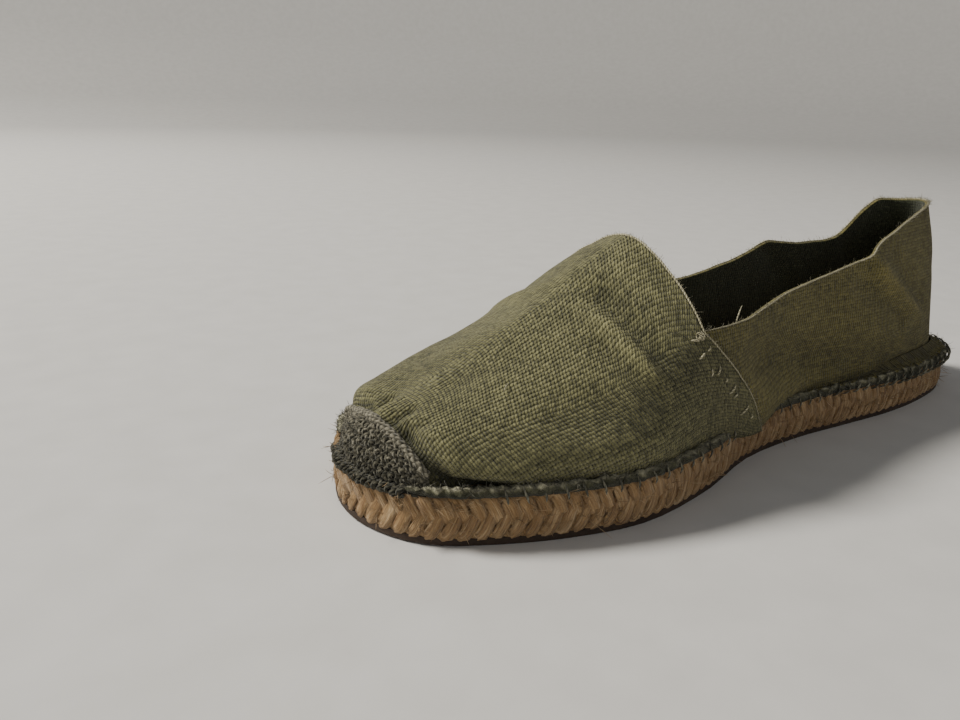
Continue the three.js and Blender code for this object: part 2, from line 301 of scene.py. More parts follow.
def grid_faces(rows, cols):
    r, c = np.meshgrid(np.arange(rows - 1), np.arange(cols - 1), indexing="ij")
    a = (r * cols + c).ravel()
    return np.stack([a, a + 1, a + cols + 1, a + cols], 1)


def add_object(name, data):
    thing = bpy.data.objects.new(name, data)
    bpy.context.scene.collection.objects.link(thing)
    return thing


def make_piece(name, points, faces, grain, materials, wear, material_index=None):
    """One mesh object. grain is each point's place on its cloth or strand, and the rub value per point makes it
    paler where rubbed and darker below zero: painted shade in creases, gaps and hollows, random tone elsewhere.
    """
    mesh = bpy.data.meshes.new(name)
    mesh.from_pydata((points * MM).tolist(), [], faces if isinstance(faces, list) else faces.tolist())
    grain_data = mesh.attributes.new("grain", "FLOAT_VECTOR", "POINT")
    grain_data.data.foreach_set("vector", np.ascontiguousarray(grain, dtype=np.float32).ravel())
    wear_and_shade_data = mesh.attributes.new("wear", "FLOAT", "POINT")
    wear_and_shade_data.data.foreach_set("value", np.asarray(wear, dtype=np.float32))
    for material in materials:
        mesh.materials.append(material)
    if material_index is not None:
        mesh.polygons.foreach_set("material_index", np.asarray(material_index, dtype=np.int32))
    mesh.shade_smooth()
    mesh.update()
    piece = add_object(name, mesh)
    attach(piece, "root")
    return piece


class Strands:
    """Gathers tubes into one mesh. Grain holds a tube's length and the place round it, in millimetres."""

    def __init__(self):
        self.points, self.faces, self.grain, self.wear = [], [], [], []
        self.count = 0

    def add(self, path, radius, depth=None, up=(0.0, 0.0, 1.0), sides=6, closed=False, taper=False, wear=0.0,
            lobes=0.0, limits=None, square=1.0):
        """A tube on a path: up is the direction of its depth, and radius its half-width across that.

        lobes gives it shallow twisted flutes, square below 1 a boxier section, and limits a lowest and
        highest z.
        """
        path = np.asarray(path, float)
        n = len(path)
        tangent = np.roll(path, -1, 0) - np.roll(path, 1, 0) if closed else np.gradient(path, axis=0)
        tangent = unit(tangent, 1e-9)
        up = np.asarray(up, float)
        normal = np.broadcast_to(up, path.shape) - tangent * np.sum(tangent * up, 1, keepdims=True)
        length = np.linalg.norm(normal, axis=1, keepdims=True)
        spare = np.cross(tangent, [0.3, 1, 0.2])
        normal = np.where(length < 0.05, spare, normal / np.maximum(length, 1e-6))
        side = np.cross(tangent, normal)
        radius = np.broadcast_to(radius, n).astype(float)
        depth = radius if depth is None else np.broadcast_to(depth, n).astype(float)
        if taper:
            ends = np.sin(np.linspace(0.12, PI - 0.12, n)) ** 0.6
            radius, depth = radius * ends, depth * ends
        turn = np.arange(sides) * 2 * PI / sides
        cos_turn = np.sign(np.cos(turn)) * np.abs(np.cos(turn)) ** square
        sin_turn = np.sign(np.sin(turn)) * np.abs(np.sin(turn)) ** square
        along = run_along(path)
        fluting = 4 * turn[None] + 0.55 * along[:, None] + 3 * np.sin(0.13 * along[:, None])
        ridged = 1 + lobes * np.cos(fluting)
        ring = (path[:, None] + side[:, None] * (radius[:, None] * ridged * cos_turn)[..., None]
                + normal[:, None] * (depth[:, None] * ridged * sin_turn)[..., None])
        offset = self.count * 0.37 % 50 * 7
        grain = np.stack(np.broadcast_arrays(
            along[:, None] + offset, radius[:, None] * np.cos(turn), depth[:, None] * np.sin(turn)), -1)
        rows = n if closed else n - 1
        r, c = np.meshgrid(np.arange(rows), np.arange(sides), indexing="ij")
        r1, c1 = (r + 1) % n, (c + 1) % sides
        base = self.count
        quads = np.stack([base + r * sides + c, base + r * sides + c1,
                          base + r1 * sides + c1, base + r1 * sides + c], -1).reshape(-1, 4)
        self.faces += quads.tolist()
        if not closed:
            self.faces.append([base + sides - 1 - k for k in range(sides)])
            self.faces.append([base + (n - 1) * sides + k for k in range(sides)])
        if limits:
            low, high = limits
            ring[..., 2] = low + (high - low) * np.clip((ring[..., 2] - low) / (high - low), 0, 1)
        self.points.append(ring.reshape(-1, 3))
        self.grain.append(grain.reshape(-1, 3))
        self.wear.append(np.full(n * sides, wear))
        self.count += n * sides

    def piece(self, name, material):
        return make_piece(name, np.concatenate(self.points), self.faces, np.concatenate(self.grain),
                          [material], np.concatenate(self.wear))


# ---- materials

class Shader:
    """A node material written as plain calls."""

    def __init__(self, name, roughness, sheen=0.0, sheen_roughness=0.5, specular=0.3):
        self.material = bpy.data.materials.new(name)
        self.material.use_nodes = True
        self.nodes = self.material.node_tree.nodes
        self.links = self.material.node_tree.links
        self.principled = self.nodes["Principled BSDF"]
        for socket, value in (("Roughness", roughness), ("Sheen Weight", sheen),
                              ("Sheen Roughness", sheen_roughness), ("Specular IOR Level", specular)):
            self.principled.inputs[socket].default_value = value

    def put(self, socket, value):
        if isinstance(value, bpy.types.NodeSocket):
            self.links.new(value, socket)
        else:
            socket.default_value = value

    def node(self, kind, **values):
        node = self.nodes.new("ShaderNode" + kind)
        for name, value in values.items():
            self.put(node.inputs[name], value)
        return node

    def math(self, operation, *values):
        node = self.node("Math")
        node.operation = operation
        for socket, value in zip(node.inputs, values):
            self.put(socket, value)
        return node.outputs[0]

    def plus(self, first, *others):
        for value in others:
            first = self.math("ADD", first, value)
        return first

    def minus(self, a, b):
        return self.math("SUBTRACT", a, b)

    def times(self, a, b):
        return self.math("MULTIPLY", a, b)

    def about(self, value, middle, size):
        """How far value is from its middle, times size."""
        return self.times(self.minus(value, middle), size)

    def attribute(self, name, output="Vector"):
        node = self.node("Attribute")
        node.attribute_name = name
        return node.outputs[output]

    def split(self, vector):
        return self.node("SeparateXYZ", Vector=vector).outputs

    def join(self, x, y, z=0.0):
        return self.node("CombineXYZ", X=x, Y=y, Z=z).outputs[0]

    def scaled(self, vector, factors):
        node = self.node("VectorMath")
        node.operation = "MULTIPLY"
        self.put(node.inputs[0], vector)
        node.inputs[1].default_value = factors
        return node.outputs[0]

    def noise(self, vector, scale=1.0, detail=2.0, roughness=0.5):
        node = self.node("TexNoise", Vector=vector, Scale=scale, Detail=detail, Roughness=roughness)
        return node.outputs["Fac"]

    def grains(self, vector, randomness):
        """Grains on a slightly uneven lattice: distance from the nearest, and that one's own shade."""
        node = self.node("TexVoronoi")
        node.voronoi_dimensions = "2D"
        for name, value in (("Vector", vector), ("Scale", 1.0), ("Randomness", randomness)):
            self.put(node.inputs[name], value)
        shade, _, _ = self.split(node.outputs["Color"])
        return node.outputs["Distance"], shade

    def ramp(self, value, stops):
        node = self.node("ValToRGB")
        elements = node.color_ramp.elements
        while len(elements) < len(stops):
            elements.new(0.5)
        for element, (position, colour) in zip(elements, stops):
            element.position = position
            element.color = (*colour, 1)
        self.put(node.inputs[0], value)
        return node.outputs[0]

    def mix(self, factor, a, b):
        node = self.node("Mix")
        node.data_type = "RGBA"
        self.put(node.inputs["Factor"], factor)
        for socket, value in ((node.inputs[6], a), (node.inputs[7], b)):
            self.put(socket, (*value, 1) if isinstance(value, tuple) else value)
        return node.outputs[2]

    def finish(self, colour, height, depth_mm, strength=1.0):
        self.put(self.principled.inputs["Base Color"], colour)
        bump = self.node("Bump", Strength=strength, Distance=depth_mm * MM, Height=height)
        self.links.new(bump.outputs[0], self.principled.inputs["Normal"])
        return self.material


YARN_ALONG, YARN_ACROSS = 1.14, 1.21
WEFT_DARKER = 0.03


def canvas_material(name, light, dark, pit_shade, depth):
    """Plain weave: a raised grain at each crossing, with slubs, flecks, pale rubbed places, painted shade in
    creases, and painted shade in the pits between yarns.
    """
    s = Shader(name, 0.93, sheen=0.12, sheen_roughness=0.6, specular=0.15)
    grain = s.attribute("grain")
    wander_u = s.about(s.noise(grain, 0.12), 0.5, 0.45)
    wander_v = s.about(s.noise(s.scaled(grain, (-1, 1, 1)), 0.1), 0.5, 0.35)
    x, y, _ = s.split(grain)
    u = s.math("DIVIDE", s.plus(x, wander_u), YARN_ALONG)
    v = s.math("DIVIDE", s.plus(y, wander_v), YARN_ACROSS)
    a = s.math("COSINE", s.times(u, PI))
    b = s.math("COSINE", s.times(v, PI))
    ab = s.times(a, b)
    warp = s.times(s.plus(s.math("ABSOLUTE", a), ab), 0.5)
    weft = s.times(s.minus(s.math("ABSOLUTE", b), ab), 0.5)
    away, shade = s.grains(s.join(u, v), 0.26)
    dots = s.minus(1.0, s.times(s.times(away, away), 1.9))
    yarn = s.math("MAXIMUM", warp, weft)
    top = s.plus(s.times(yarn, 0.2), s.times(dots, 0.9))
    raised = s.plus(s.times(yarn, 0.25), s.times(dots, 0.85))
    warp_yarn = s.noise(s.join(s.math("ROUND", u), s.times(v, 0.13)), 0.9)
    weft_yarn = s.noise(s.join(s.times(u, 0.13), s.math("ROUND", v), 9.0), 0.9)
    on_warp = s.math("GREATER_THAN", warp, weft)
    slub = s.plus(s.times(on_warp, warp_yarn), s.times(s.minus(1.0, on_warp), s.minus(weft_yarn, WEFT_DARKER)))
    fleck = s.noise(grain, 2.6, 3.0, 0.7)
    patch = s.noise(grain, 0.045, 4.0, 0.6)
    # the rub value adds pale rubbing, and painted shade in creases
    tone = s.plus(s.times(slub, 0.42), s.about(fleck, 0.5, 0.6), s.plus(0.13, s.times(shade, 0.24)),
                  s.about(patch, 0.5, 0.3), s.times(s.attribute("wear", "Fac"), 0.26))
    middle = tuple((p + q) / 2 for p, q in zip(dark, light))
    colour = s.ramp(tone, [(0.18, dark), (0.52, middle), (0.86, light)])
    # where the yarns sink between crossings the colour turns to the pit colour: painted shade in the pits
    cover = s.math("SMOOTH_MIN", s.times(top, 1.5), 1.0, 0.2)
    colour = s.mix(cover, pit_shade, colour)
    height = s.plus(raised, s.times(s.noise(grain, 3.0, 3.0, 0.7), 0.4), s.times(slub, 0.5))
    return s.finish(colour, height, depth)


def strand_material(name, stops, across, along, depth, roughness=0.9, twist=0.0, sheen=0.15):
    """Fibre: streaks along each strand, patches along its length, a rub value per point, and plies where twist
    is set, with painted highlight on their crowns and painted shade in the grooves between them.
    """
    s = Shader(name, roughness, sheen=sheen, specular=0.2)
    grain = s.attribute("grain")
    streak = s.noise(s.scaled(grain, (along, across, across)), 1.0, 4.0, 0.65)
    fine = s.noise(s.scaled(grain, (along * 2.5, across * 2.6, across * 2.6)), 1.0, 3.0, 0.6)
    patch = s.noise(s.scaled(grain, (0.09, 0.3, 0.3)), 1.0, 3.0, 0.5)
    # the rub value adds pale rubbing, random tone, and painted shade in gaps, on the toe's low rows and under
    # the hem's lip
    tone = s.plus(s.times(streak, 0.55), s.times(fine, 0.3), s.times(patch, 0.25),
                  s.times(s.attribute("wear", "Fac"), 0.3))
    height = s.plus(streak, s.times(fine, 0.6))
    if twist:
        x, y, z = s.split(grain)
        angle = s.plus(s.times(s.math("ARCTAN2", z, y), 2.0), s.times(x, 2 * PI / twist))
        ply = s.math("ABSOLUTE", s.math("COSINE", s.times(angle, 0.5)))
        # plies: painted highlight on each crown and painted shade in the grooves between them
        tone = s.plus(tone, s.about(ply, 0.6, 0.3))
        height = s.plus(height, s.times(ply, 1.2))
    return s.finish(s.ramp(tone, stops), height, depth)


TREAD_PER_METRE = 1500.0
UNDERSIDE = 0.0003


def rubber_material():
    s = Shader("rubber_dark", 0.78, specular=0.35)
    place = s.node("TexCoord").outputs["Object"]
    x, y, z = s.split(place)
    tread = s.times(s.math("SINE", s.times(s.plus(x, y), TREAD_PER_METRE)),
                    s.math("SINE", s.times(s.minus(x, y), TREAD_PER_METRE)))
    under = s.math("LESS_THAN", z, UNDERSIDE)
    grit = s.noise(place, 900.0, 4.0, 0.65)
    patch = s.noise(place, 40.0, 3.0, 0.6)
    colour = s.ramp(s.plus(s.times(grit, 0.4), s.times(patch, 0.6)),
                    [(0.3, (0.022, 0.014, 0.01)), (0.7, (0.06, 0.04, 0.028))])
    height = s.plus(s.times(grit, 0.4), s.times(tread, under))
    return s.finish(colour, height, 0.4)


def floor_material():
    s = Shader("studio_floor", 0.85, specular=0.2)
    place = s.node("TexCoord").outputs["Object"]
    speck = s.noise(place, 60.0, 3.0, 0.5)
    colour = s.ramp(speck, [(0.3, (0.6, 0.59, 0.57)), (0.7, (0.64, 0.63, 0.61))])
    return s.finish(colour, speck, 0.2, 0.3)


# the third colour of each canvas is painted shade for the pits between its yarns
canvas = canvas_material("canvas_olive", (0.375, 0.355, 0.166), (0.046, 0.046, 0.017),
                         (0.006, 0.006, 0.0025), 1.15)
# the quarter: a darker, yellower copy of the vamp's canvas; its extra darkness is painted shade
shaded_quarter_canvas = canvas_material("canvas_olive_quarter_shaded", (0.265, 0.23, 0.078), (0.05, 0.045, 0.014),
                                 (0.018, 0.017, 0.006), 0.6)
# the inside of the cloth: a dark copy of the canvas, painted shade for the inside of the shoe
shaded_lining = canvas_material("canvas_inside_painted_shade", (0.078, 0.088, 0.05), (0.018, 0.022, 0.012),
                         (0.004, 0.004, 0.002), 0.4)
jute = strand_material("jute_fibre", [(0.36, (0.07, 0.036, 0.014)), (0.46, (0.26, 0.15, 0.064)),
                                      (0.57, (0.4, 0.255, 0.12)), (0.7, (0.66, 0.49, 0.29))],
                       1.9, 0.09, 1.3)
toe_thread = strand_material("toe_thread", [(0.25, (0.016, 0.016, 0.01)), (0.52, (0.088, 0.082, 0.056)),
                                            (0.85, (0.36, 0.33, 0.25))], 4.0, 0.6, 0.25, twist=1.5)
hem_cloth = strand_material("hem_cloth", [(0.25, (0.024, 0.026, 0.012)), (0.5, (0.12, 0.118, 0.066)),
                                          (0.78, (0.44, 0.42, 0.29))], 2.2, 1.4, 0.8)
hem_thread = strand_material("hem_thread", [(0.25, (0.045, 0.045, 0.03)), (0.5, (0.16, 0.155, 0.11)),
                                            (0.78, (0.4, 0.38, 0.29))], 3.2, 0.5, 0.35, twist=1.8)
cream_thread = strand_material("cream_thread", [(0.25, (0.11, 0.1, 0.05)), (0.5, (0.29, 0.265, 0.16)),
                                                (0.8, (0.62, 0.58, 0.42))], 6.0, 0.8, 0.15, twist=1.1)


# ---- the canvas upper

def mesh_normals(points, faces):
    """Vertex normals of a grid of quads."""
    a, b, c, d = (points[faces[:, k]] for k in range(4))
    face = np.cross(c - a, d - b)
    normal = np.zeros_like(points)
    for k in range(4):
        np.add.at(normal, faces[:, k], face)
    return unit(normal, 1e-12)


def cloth_shell(name, grid, normals, grain, outside, weld=None):
    """Closes a grid of folded cloth with an inner layer a cloth's thickness inside it, coloured with the dark
    lining whose darkness is painted shade inside the shoe.
    """
    moved, wear = folded(grid.reshape(-1, 3), normals)
    grain = grain.reshape(-1, 3)
    faces = grid_faces(*grid.shape[:2])
    out = mesh_normals(moved, faces)
    if np.mean(np.sum(out * normals, 1)) < 0:
        out = -out
        faces = faces[:, ::-1]
    if weld:
        pair = unit(out[weld[0]] + out[weld[1]])
        out[weld[0]], out[weld[1]] = pair, pair
    inner = moved - out * CLOTH
    count = len(moved)
    place = np.arange(count).reshape(grid.shape[:2])
    rim = [place[0], place[:, -1], place[-1][::-1], place[:, 0][::-1]]
    if weld:
        del rim[2]
    edges = np.concatenate([np.stack([r[:-1], r[1:]], 1) for r in rim])
    wall = np.stack([edges[:, 1], edges[:, 0], edges[:, 0] + count, edges[:, 1] + count], 1)
    all_faces = np.concatenate([faces, faces[:, ::-1] + count, wall])
    index = np.concatenate([np.zeros(len(faces)), np.ones(len(faces)), np.zeros(len(wall))])
    piece = make_piece(name, np.concatenate([moved, inner]), all_faces, np.concatenate([grain, grain]),
                       [outside, shaded_lining], np.concatenate([wear, wear]), index)
    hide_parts("upper")
    return moved.reshape(grid.shape), out.reshape(grid.shape)


def rear_edge_x(z):
    """The rear edge of the vamp, seen from the side."""
    side_lean = (SEAM_CORNER_X - SEAM_FOOT_X) / (SEAM_CORNER_Z - SEAM_FOOT_Z)
    throat_lean = (THROAT_APEX_X - SEAM_CORNER_X) / (THROAT_APEX_Z - SEAM_CORNER_Z)
    above = z - SEAM_CORNER_Z
    return np.where(above < 0, SEAM_FOOT_X + (z - SEAM_FOOT_Z) * side_lean, SEAM_CORNER_X + above * throat_lean)


def rear_angle(v, side):
    """The rib angle at which a row of the vamp meets its rear edge."""
    angles = np.linspace(0.5, 1.75, 500)
    p = form(side * angles, v)
    ahead = p[:, 0] - rear_edge_x(p[:, 2])
    k = np.argmax(ahead < 0)
    t = ahead[k - 1] / (ahead[k - 1] - ahead[k])
    return angles[k - 1] + t * (angles[k] - angles[k - 1])


VAMP_ROWS, VAMP_COLS = 64, 321
RIDGE_PASSES = 60
RIDGE_FROM, RIDGE_OVER = 0.55, 0.35  # where up the rib the rounding starts, and over what share
RIDGE_KEPT = 0.75  # the share of its lost height that the ridge gets back
vs = np.linspace(0, 1, VAMP_ROWS)
near_end, far_end = (np.array([rear_angle(v, side) for v in vs]) for side in (1, -1))
across = np.linspace(-1, 1, VAMP_COLS)
spread = np.sign(across) * (0.35 * np.abs(across) + 0.65 * np.abs(across) ** 1.25)
vamp_angle = spread * np.where(spread > 0, near_end[:, None], far_end[:, None])
vamp_grid = form(vamp_angle, vs[:, None])
# round off the ridge: each rib and the one it meets are smoothed together over their last rows
loop = np.concatenate([vamp_grid, vamp_grid[:-1][::-1, ::-1]])
gentle = loop
for _ in range(RIDGE_PASSES):
    gentle = np.concatenate([gentle[:1], (gentle[:-2] + 2 * gentle[1:-1] + gentle[2:]) / 4, gentle[-1:]])
sink = (loop - gentle)[VAMP_ROWS - 1]
near_ridge = np.clip((vs - RIDGE_FROM) / RIDGE_OVER, 0, 1)[:, None, None]
near_ridge = near_ridge * near_ridge * (3 - 2 * near_ridge)
vamp_grid = vamp_grid * (1 - near_ridge) + (gentle[:VAMP_ROWS] + RIDGE_KEPT * sink[None]) * near_ridge
arc = np.cumsum(np.linalg.norm(np.diff(vamp_grid[::-1], axis=0), axis=2), axis=0)
arc = np.concatenate([np.zeros((1, VAMP_COLS)), arc])[::-1]
out_xy = unit(vamp_grid[0, :, :2] - vamp_grid[-1, :, :2])
vamp_grain = np.stack([vamp_grid[-1, :, 0] + out_xy[:, 0] * arc, out_xy[:, 1] * arc, 0 * arc], -1)
vamp_normals = mesh_normals(vamp_grid.reshape(-1, 3), grid_faces(VAMP_ROWS, VAMP_COLS))
top_row = np.arange(VAMP_COLS) + (VAMP_ROWS - 1) * VAMP_COLS
if np.mean(vamp_normals[:, 2]) < 0:
    vamp_normals = -vamp_normals
vamp_normals[top_row] = unit(vamp_normals[top_row] + vamp_normals[top_row[::-1]])
vamp_cloth = cloth_shell("canvas_vamp", vamp_grid, vamp_normals, vamp_grain, canvas,
                         weld=(top_row, top_row[::-1]))

QUARTER_ROWS, QUARTER_COLS = 46, 420
QUARTER_START_X = 58
HEEL_SOFT_X, HEEL_SOFT_OVER = -84, 12  # where the collar's line starts to be rounded, and over what length
quarter_start = math.acos(QUARTER_START_X / (SHOE_LENGTH / 2))
quarter_angles = np.linspace(quarter_start, 2 * PI - quarter_start, QUARTER_COLS)


def collar_height(p):
    left = np.interp(p[..., 0], COLLAR[:, 0], COLLAR[:, 1])
    right = np.interp(p[..., 0], COLLAR[:, 2], COLLAR[:, 3])
    share = np.clip((p[..., 1] + 6) / 12, 0, 1)
    return left * share + right * (1 - share)


def collar_share(angle):
    """How far up its rib the collar edge lies."""
    tries = np.linspace(0.05, 1, 400)
    p = form(angle, tries, QUARTER_INSET)
    over = p[:, 2] - collar_height(p)
    k = np.argmax(over > 0)
    return tries[k - 1] - over[k - 1] * (tries[k] - tries[k - 1]) / (over[k] - over[k - 1])


collar_v = soften([collar_share(a) for a in quarter_angles], np.array([1, 2, 3, 2, 1]) / 9)
soft = soften(collar_v, np.hanning(17)[1:-1] / 8.0)
quarter_edge_x = form(quarter_angles, collar_v, QUARTER_INSET)[:, 0]
at_heel = np.clip((HEEL_SOFT_X - quarter_edge_x) / HEEL_SOFT_OVER, 0, 1)
collar_v = collar_v * (1 - at_heel) + soft * at_heel
share_up = np.linspace(0, 1, QUARTER_ROWS)
quarter_grid = form(quarter_angles[None], share_up[:, None] * collar_v[None], QUARTER_INSET)
run = run_along(quarter_grid[QUARTER_ROWS // 3])
quarter_grain = np.stack(np.broadcast_arrays(run, quarter_grid[..., 2] * 1.04, 0), -1)
quarter_points = quarter_grid.reshape(-1, 3)
quarter_normals = mesh_normals(quarter_points, grid_faces(QUARTER_ROWS, QUARTER_COLS))
if np.sum(quarter_normals * quarter_points * [1, 1, 0]) < 0:
    quarter_normals = -quarter_normals
quarter_cloth = cloth_shell("canvas_quarter", quarter_grid, quarter_normals, quarter_grain, shaded_quarter_canvas)


# ---- jute sole

def loop_angles(inset, spacing):
    """Angles at even spacing round the outline, with the points, for a closed loop."""
    dense = np.linspace(0, 2 * PI, 4000, endpoint=False)
    x, y, _, _ = edge(dense, inset)
    lengths = np.hypot(np.diff(np.append(x, x[0])), np.diff(np.append(y, y[0])))
    walked = np.append(0, np.cumsum(lengths))
    where = np.linspace(0, walked[-1], int(walked[-1] / spacing), endpoint=False)
    angles = np.interp(where, walked, np.append(dense, 2 * PI))
    return angles, where, walked[-1]


def plait(strands, inset, z, half_band, radius, depth, swing, pitch, spacing=0.62, sides=8, on_edge=True):
    """A three-strand plait round the shoe, standing on edge at the side or lying flat on the footbed."""
    angles, where, total = loop_angles(inset, spacing)
    x, y, nx, ny = edge(angles, inset)
    cycles = round(total / pitch)
    phase = where / total * cycles * 2 * PI
    wobble = np.cumsum(rng.normal(0, 1, len(where)))
    wobble -= np.linspace(wobble[0], wobble[-1], len(wobble))
    wobble *= 0.35 / (np.abs(wobble).max() + 1e-9)
    for k in range(3):
        turn = phase + wobble + 2 * PI * k / 3
        cross = half_band * (0.45 * np.sin(turn) + 0.55 * np.arcsin(0.97 * np.sin(turn)) / 1.326)
        lift = -swing * np.sin(2 * turn)
        plump = 1 + 0.1 * np.sin(where * 0.21 + k * 2.1) + 0.06 * np.sin(where * 0.63 + k)
        if on_edge:
            path = np.stack([x + nx * lift, y + ny * lift, z + cross + spring(x)], 1)
            up = np.stack([nx, ny, 0 * nx], 1)
        else:
            path = np.stack([x + nx * cross, y + ny * cross, z + lift + spring(x)], 1)
            up = (0, 0, 1)
        strands.add(path, radius * plump, depth * plump, up=up, sides=sides, closed=True, lobes=0.1,
                    limits=(1.5, 13.9) if on_edge else None, square=0.75)


FOOTBED_INSETS = (5.6, 12.4, 19.2, 26.0)
# straight rows in the middle of the footbed: y, and x from and to
FOOTBED_ROWS = ((0, -104, 108), (5.6, -14, 94), (-5.6, -14, 98), (11.2, 38, 80), (-11.2, 30, 82))
BED_PITCH, BED_BAND, BED_SWING = 9.5, 2.0, 0.5
BED_RADIUS, BED_DEPTH = 1.5, 1.1

jute_mid = (JUTE_BOTTOM + JUTE_TOP) / 2
side_plait = Strands()
plait(side_plait, inset=1.55, z=jute_mid - 0.35, half_band=5.6, radius=1.9, depth=0.75, swing=0.45,
      pitch=13.0, sides=10)
braid = side_plait.piece("jute_braid", jute)
footbed = Strands()
for inset in FOOTBED_INSETS:
    plait(footbed, inset, JUTE_TOP - 1.7, BED_BAND, BED_RADIUS, BED_DEPTH, BED_SWING, BED_PITCH,
          spacing=1.3, sides=6, on_edge=False)
for y_row, x_from, x_to in FOOTBED_ROWS:
    count = int((x_to - x_from) * 1.3)
    row = np.stack([np.linspace(x_from, x_to, count), np.full(count, y_row), np.full(count, JUTE_TOP - 2.2)], 1)
    for k in range(3):
        turn = row[:, 0] * 2 * PI / BED_PITCH + 2 * PI * k / 3 + y_row
        path = row + np.stack([0 * turn, BED_BAND * np.sin(turn), BED_SWING * np.sin(2 * turn)], 1)
        footbed.add(path, BED_RADIUS, BED_DEPTH)
bed = footbed.piece("jute_footbed", jute)

# the core: inset and height of each ring, None for the strip that closes its middle
CORE_LEVELS = [(None, JUTE_BOTTOM), (1.5, JUTE_BOTTOM), (1.7, jute_mid), (2.2, JUTE_TOP - 1.6),
               (None, JUTE_TOP - 1.9)]
RING = 240
core_angles = np.linspace(0, 2 * PI, RING, endpoint=False)
core_points, core_grain = [], []
for inset, z in CORE_LEVELS:
    x, y, _, _ = edge(core_angles, 3.2 if inset is None else inset)
    if inset is None:
        x, y = x * 0.9, y * 0.05
    core_points.append(np.stack([x, y, z + spring(x)], 1))
    core_grain.append(np.stack([np.arange(RING) * 2.6, y, np.full(RING, z)], 1))
core_points = np.concatenate(core_points)
here = np.arange(RING)
beyond = (here + 1) % RING
last = 4 * RING
core_faces = []
for low in range(0, last, RING):
    core_faces += (np.stack([here, beyond, beyond + RING, here + RING], 1) + low).tolist()
core_faces += [[a, a + 1, RING - a - 1, RING - a] for a in range(1, RING // 2 - 1)][::-1]
core_faces += [[last + a + 1, last + a, last + RING - a, last + RING - a - 1] for a in range(1, RING // 2 - 1)]
# the core shows only in the gaps between plaits and is darkened a little (-0.25): painted shade in those gaps
core = make_piece("jute_core", core_points, core_faces, np.concatenate(core_grain), [jute],
                  np.full(len(core_points), -0.25))
for piece in (braid, bed, core):
    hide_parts("jute_sole")


# ---- stitched toe

def toe_limit(angle, inset):
    """How far up its rib the toe cap's slanting edge lies."""
    tries = np.linspace(0, 1, 300)
    p = form(angle, tries, inset)
    ahead = p[:, 0] - toe_rim_x(p[:, 2])
    return 0.0 if ahead[0] <= 0 else tries[np.argmax(ahead < 0)]


TOE_SPAN, TOE_SPAN_FAR = 0.405, 0.46
TOE_OVERLAP, TOE_DROP = 0.14, 0.5
toe_angles = np.linspace(-TOE_SPAN_FAR, TOE_SPAN, 121)
toe_v = soften([toe_limit(a, -0.8) for a in toe_angles], np.ones(7) / 7)


def toe_point(across_toe, up_toe, lift):
    """A place on the toe cap: across from -1 to 1, up from its foot (0) to its rim (1)."""
    angle = np.asarray(across_toe) * np.where(np.asarray(across_toe) < 0, TOE_SPAN_FAR, TOE_SPAN)
    v = np.interp(angle, toe_angles, toe_v) * np.asarray(up_toe)
    p = form(angle, np.maximum(v, 0))
    out = form(angle, np.maximum(v, 0), -1.0) - p
    x, y, nx, ny = edge(angle, 0.0)
    below = np.clip(-np.broadcast_to(up_toe, angle.shape) / TOE_OVERLAP, 0, 1)[..., None]
    out = unit(out * (1 - below) + np.stack([nx, ny, 0 * nx], -1) * below, 1e-9)
    corner = np.stack([x, y, 0 * x + JUTE_TOP + 0.9], -1)
    low = np.stack([x + 0.1 * nx, y + 0.1 * ny, 0 * x + JUTE_TOP - TOE_DROP], -1)
    p = p * (1 - below) ** 2 + 2 * corner * below * (1 - below) + low * below ** 2
    return p + out * np.asarray(lift)[..., None] + toe_dent(p), out


BACKING_ROWS, BACKING_COLS = 40, 121
BACKING_THICKNESS = 0.5
grid_across, grid_up = np.meshgrid(np.linspace(-1, 1, BACKING_COLS), np.linspace(-TOE_OVERLAP, 1, BACKING_ROWS))
backing, _ = toe_point(grid_across, grid_up, -0.75)
backing = backing.reshape(-1, 3)
backing_faces = grid_faces(BACKING_ROWS, BACKING_COLS)
backing_out = mesh_normals(backing, backing_faces)
if np.sum(backing_out[:, 0]) < 0:
    backing_out, backing_faces = -backing_out, backing_faces[:, ::-1]
inner_backing = backing - backing_out * BACKING_THICKNESS
backing_faces = np.concatenate([backing_faces, backing_faces[:, ::-1] + len(backing)])
# the backing under the stitch rows is set near black (-1.6): painted shade in the gaps between the rows
toe_shaded_base = make_piece("toe_backing_painted_shade", np.concatenate([backing, inner_backing]), backing_faces,
                      np.concatenate([backing, backing]), [toe_thread], np.full(2 * len(backing), -1.6))

toe_rows = Strands()
ROWS = 10
STITCH_LENGTH = 3.7
for row in range(ROWS):
    up_toe = -TOE_OVERLAP + (row + 0.3) / ROWS * (1 + TOE_OVERLAP)
    across_toe = np.linspace(-1, 1 if up_toe > 0.05 else 0.8, 520)
    run = run_along(toe_point(across_toe, up_toe, 0.0)[0])
    for k in range(2):
        uneven = 0.5 * np.sin(run * 0.31 + row * 1.7)
        turn = run * 2 * PI / STITCH_LENGTH + PI * k + PI / 2 * (row % 2) + uneven
        sway = 0.066 * np.sin(turn) + 0.012 * np.sin(run * 0.9 + row)
        high = -0.05 + 0.42 * np.sin(2 * turn + PI / 2 * k) + 0.28 * np.sin(run * 0.47 + row * 2.3)
        path, out = toe_point(across_toe, np.clip(up_toe + sway, -TOE_OVERLAP, 1), high)
        thick = 0.52 + 0.09 * np.sin(run * 0.8 + row + k)
        # lower rows of the stitched toe are darker: painted shade toward the foot of the cap
        low_rows_shade = -0.55 * (1 - max(up_toe, 0)) ** 1.5
        toe_rows.add(path, thick, thick * 0.9, up=out, wear=low_rows_shade + float(rng.uniform(-0.3, 0.2)))
